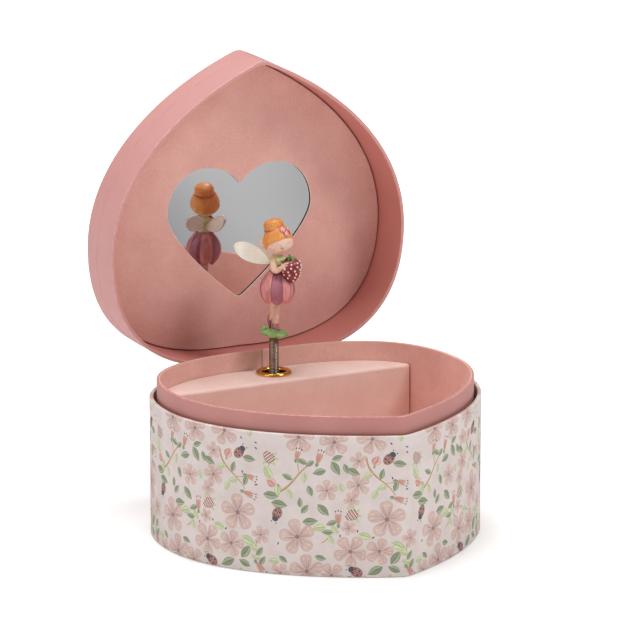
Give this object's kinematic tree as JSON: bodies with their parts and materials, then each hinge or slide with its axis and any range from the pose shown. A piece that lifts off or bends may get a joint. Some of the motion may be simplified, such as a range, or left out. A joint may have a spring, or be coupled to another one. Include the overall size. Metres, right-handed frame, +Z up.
{
  "type": "musical jewellery box",
  "caption": "Heart-shaped jewellery box with hinged mirror lid, folding dancer on a spring and a wind-up musical movement under a shelf.",
  "frame": {"origin": "centre of the box outline, on the underside", "axes": "+X to the right seen from the front, +Y to the hinge at the back, +Z up; the point of the heart faces -Y"},
  "size_m": [0.165, 0.1858, 0.2272],
  "materials": {
    "printed_paper": "satin",
    "pink_paper": "satin",
    "pink_cloth": "matt",
    "grey_board": "matt",
    "suede_paper": "matt",
    "mirror_sheet": "polished",
    "gold_plate": "polished",
    "brass": "satin",
    "steel": "satin",
    "cast_zinc": "matt",
    "nylon": "satin",
    "painted_skirt": "satin",
    "painted_hair": "satin",
    "painted_leaf": "satin",
    "painted_berry": "satin",
    "painted_wing": "satin"
  },
  "bodies": {
    "base": {"outer_wall": "printed_paper", "base_board": "grey_board", "neck_liner": "pink_paper", "storage_floor": "suede_paper", "mechanism_deck": "suede_paper", "grommet": "gold_plate", "grommet_washer": "gold_plate", "hinge_cloth_base": "pink_cloth", "bedplate": "cast_zinc", "spring_housing": "brass", "mainspring": "steel", "comb": "steel", "comb_screw_1": "steel", "comb_screw_2": "steel", "mounting_screw_1": "steel", "mounting_screw_2": "steel", "mounting_screw_3": "steel", "key_escutcheon": "gold_plate"},
    "lid": {"lid_wall": "pink_paper", "lid_top_board": "pink_paper", "lining_panel": "suede_paper", "mirror": "mirror_sheet", "hinge_cloth_lid": "pink_cloth"},
    "winder": {"winding_arbor": "steel", "crown_wheel": "brass", "winding_key": "steel"},
    "drum_body": {"drum": "brass", "drum_arbor": "steel", "drum_pinion": "brass", "drum_gear": "brass"},
    "governor": {"governor_arbor": "steel", "governor_pinion": "brass", "governor_fan": "nylon"},
    "spindle": {"dancer_spindle": "steel", "spindle_pinion": "brass"},
    "spring_top": {"dancer_spring": "steel", "spring_plug": "brass"},
    "figure": {"leaf_base": "painted_leaf", "dancer_body": "painted_skirt", "dancer_head": "painted_hair", "berry": "painted_berry", "wing_left": "painted_wing", "wing_right": "painted_wing"}
  },
  "joints": [
    {"name": "lid_hinge", "type": "hinge", "parent": "base", "child": "lid", "pos_m": [0, 0.0787, 0.06975], "axis": [1, 0, 0], "range_deg": [0, 87.6]},
    {"name": "key_turn", "type": "hinge", "parent": "base", "child": "winder", "pos_m": [0, 0.066, 0.046], "axis": [0, 1, 0], "continuous": true},
    {"name": "drum_turn", "type": "hinge", "parent": "base", "child": "drum_body", "pos_m": [0, 0.062, 0.02], "axis": [0, 0, 1], "continuous": true},
    {"name": "governor_turn", "type": "hinge", "parent": "base", "child": "governor", "pos_m": [-0.0096, 0.062, 0.02], "axis": [0, 0, 1], "continuous": true},
    {"name": "spindle_turn", "type": "hinge", "parent": "base", "child": "spindle", "pos_m": [0, 0.062, 0.06], "axis": [0, 0, 1], "continuous": true},
    {"name": "dancer_fold", "type": "hinge", "parent": "base", "child": "spring_top", "pos_m": [0, 0.062, 0.0803], "axis": [1, 0, 0], "range_deg": [0, 100], "deforming": ["dancer_spring"]},
    {"name": "dancer_turn", "type": "hinge", "parent": "spring_top", "child": "figure", "pos_m": [0, 0.062, 0.0803], "axis": [0, 0, 1], "continuous": true}
  ],
  "couplings": [
    {"joint": "dancer_fold", "follows": "lid_hinge", "ratio": 1.1415},
    {"joint": "drum_turn", "follows": "key_turn", "ratio": 5},
    {"joint": "governor_turn", "follows": "key_turn", "ratio": -15},
    {"joint": "spindle_turn", "follows": "key_turn", "ratio": -5},
    {"joint": "dancer_turn", "follows": "key_turn", "ratio": -5}
  ]
}
